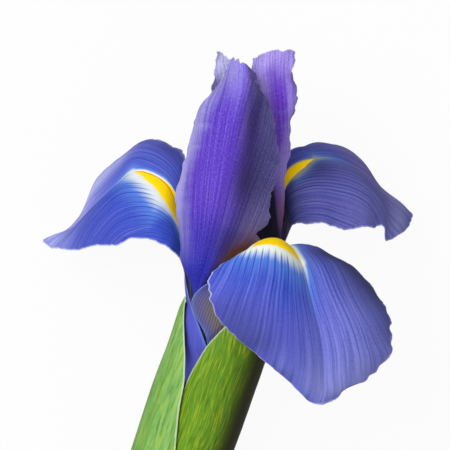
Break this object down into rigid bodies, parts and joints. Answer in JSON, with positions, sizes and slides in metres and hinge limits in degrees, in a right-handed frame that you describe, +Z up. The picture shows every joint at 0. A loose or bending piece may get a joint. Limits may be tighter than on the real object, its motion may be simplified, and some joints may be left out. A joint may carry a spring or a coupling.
{
  "type": "iris flower",
  "caption": "Cut bulbous iris bloom lying down, blue and violet petals with yellow signals, a green spathe and a short stem.",
  "frame": {"origin": "on the surface the flower lies on, under the middle of its bounding box", "axes": "+Z up from the surface, +Y from the cut stem towards the tips of the standards, +X to the right of that"},
  "size_m": [0.0963, 0.1983, 0.0638],
  "materials": {
    "fall": "satin",
    "standard": "satin",
    "style_arm": "satin",
    "stamen": "matte",
    "stem": "satin",
    "bract_left": "satin",
    "bract_right": "satin"
  },
  "bodies": {
    "root": {"fall_front": "fall", "fall_left": "fall", "fall_right": "fall", "standard_front": "standard", "standard_right": "standard", "standard_back": "standard", "style_arm_front": "style_arm", "style_arm_left": "style_arm", "style_arm_right": "style_arm", "stamen_front": "stamen", "stamen_left": "stamen", "stamen_right": "stamen", "ovary": "stem", "stem": "stem", "bract_left": "bract_left", "bract_right": "bract_right"}
  },
  "joints": []
}
